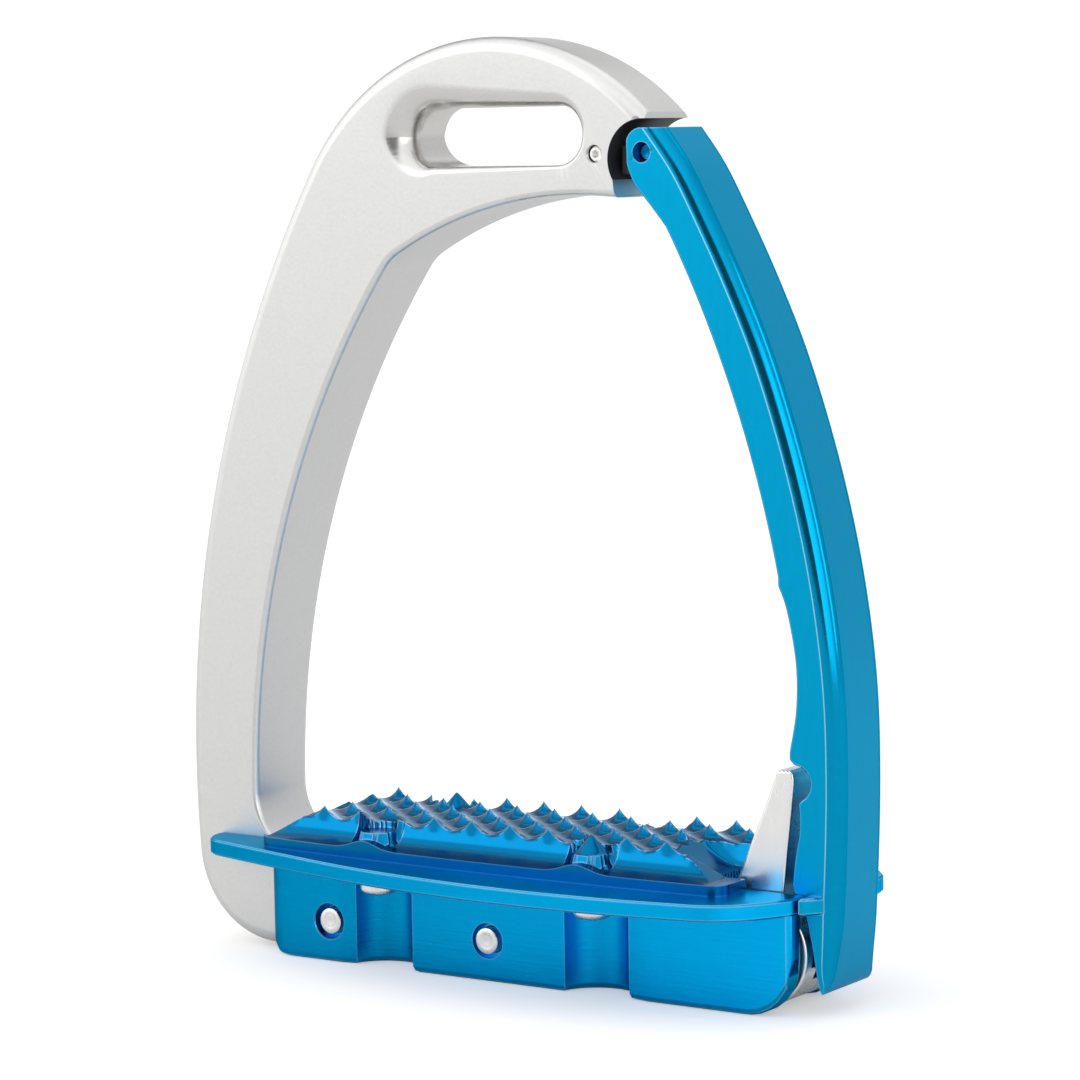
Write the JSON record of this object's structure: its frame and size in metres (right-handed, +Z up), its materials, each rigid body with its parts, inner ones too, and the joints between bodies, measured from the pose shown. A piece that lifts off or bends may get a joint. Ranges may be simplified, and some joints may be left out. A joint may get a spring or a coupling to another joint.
{
  "type": "safety stirrup iron",
  "caption": "Riding stirrup iron with a leather slot, a spiked footbed and a hinged outer arm that swings open when the release lever is pushed",
  "frame": {"origin": "under the middle of the footbed, on the plane it rests on", "axes": "+Z up to the arch, +X along the tread towards the hinged outer arm, +Y to the rear"},
  "size_m": [0.147, 0.059, 0.1758],
  "materials": {
    "frame_silver": "bead-blasted silver anodised aluminium with polished edge radii",
    "blue_anodised": "satin blue anodised aluminium, fine machining lines, glossy edge radii",
    "grip_blue": "glossy deep blue anodised aluminium with ball-milled spikes",
    "bright_steel": "satin stainless steel",
    "dark_steel": "dark hardened steel"
  },
  "bodies": {
    "stirrup": {"frame": "frame_silver", "hinge_knuckle": "dark_steel", "hinge_set_screw": "dark_steel", "footbed": "blue_anodised", "grip_plate": "grip_blue", "tread_screw_front_inner": "bright_steel", "tread_screw_front_outer": "bright_steel", "tread_screw_rear_inner": "bright_steel", "tread_screw_rear_outer": "bright_steel", "cross_pin_inner": "bright_steel", "cross_pin_middle": "bright_steel", "lever_pivot_pin": "bright_steel", "lever_spring": "bright_steel"},
    "arm": {"safety_arm": "blue_anodised", "latch_pin": "dark_steel", "hinge_pin": "dark_steel"},
    "lever": {"release_lever": "bright_steel"}
  },
  "joints": [
    {"name": "arm_hinge", "type": "hinge", "parent": "stirrup", "child": "arm", "pos_m": [0.034, 0, 0.1543], "axis": [0, -1, 0], "range_deg": [0, 66]},
    {"name": "lever_pivot", "type": "hinge", "parent": "stirrup", "child": "lever", "pos_m": [0.0565, 0, 0.0108], "axis": [0, 1, 0], "range_deg": [0, 3], "stiffness_Nm_per_rad": 0.6, "springref_deg": -5.73}
  ]
}
